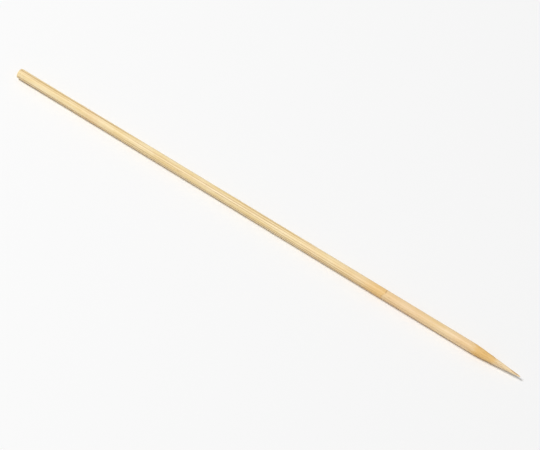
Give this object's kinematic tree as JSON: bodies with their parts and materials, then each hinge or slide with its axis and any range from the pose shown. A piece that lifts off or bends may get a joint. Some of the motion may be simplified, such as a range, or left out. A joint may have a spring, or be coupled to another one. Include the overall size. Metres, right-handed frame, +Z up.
{
  "type": "bamboo skewer",
  "caption": "Round bamboo skewer with a straight drawn shaft, a square-sawn butt and a long ground point.",
  "frame": {"origin": "half way along the overall length, on the surface that the skewer lies on", "axes": "+X along the skewer, from the sawn butt to the point; +Z up"},
  "size_m": [0.18, 0.003, 0.003],
  "materials": {
    "bamboo": "drawn, dry and uncoated"
  },
  "bodies": {
    "root": {"skewer": "bamboo"}
  },
  "joints": []
}
